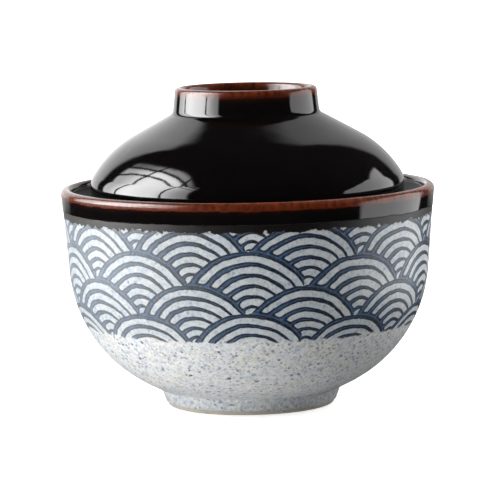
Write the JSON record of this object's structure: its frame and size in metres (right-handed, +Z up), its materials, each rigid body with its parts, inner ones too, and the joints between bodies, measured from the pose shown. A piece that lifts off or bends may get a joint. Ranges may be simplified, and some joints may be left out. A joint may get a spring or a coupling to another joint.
{
  "type": "lidded rice bowl",
  "caption": "Footed stoneware rice bowl with a wave-scale band and a black rim, and a black domed lid with a ring handle that rests inside the lip.",
  "frame": {"origin": "centre of the foot ring, in the plane that it stands on", "axes": "+Z up along the axis that bowl and lid are turned about; -Y is the side seen from the front"},
  "size_m": [0.1254, 0.1254, 0.107],
  "materials": {
    "bare_stoneware": "matte unglazed stoneware with fine iron specks",
    "speckled_glaze": "gloss off-white glaze with fine specks, painted with blue overlapping wave scales",
    "black_glaze": "gloss black glaze that breaks to rust brown on sharp lips"
  },
  "bodies": {
    "bowl": {"bowl_body": "bare_stoneware", "bowl_speckled_glaze": "speckled_glaze", "bowl_black_glaze": "black_glaze"},
    "lid": {"lid_body": "bare_stoneware", "lid_black_glaze": "black_glaze"}
  },
  "joints": [
    {"name": "lid_lift", "type": "slide", "parent": "bowl", "child": "lid", "axis": [0, 0, 1], "range_m": [0, 0.12]}
  ]
}
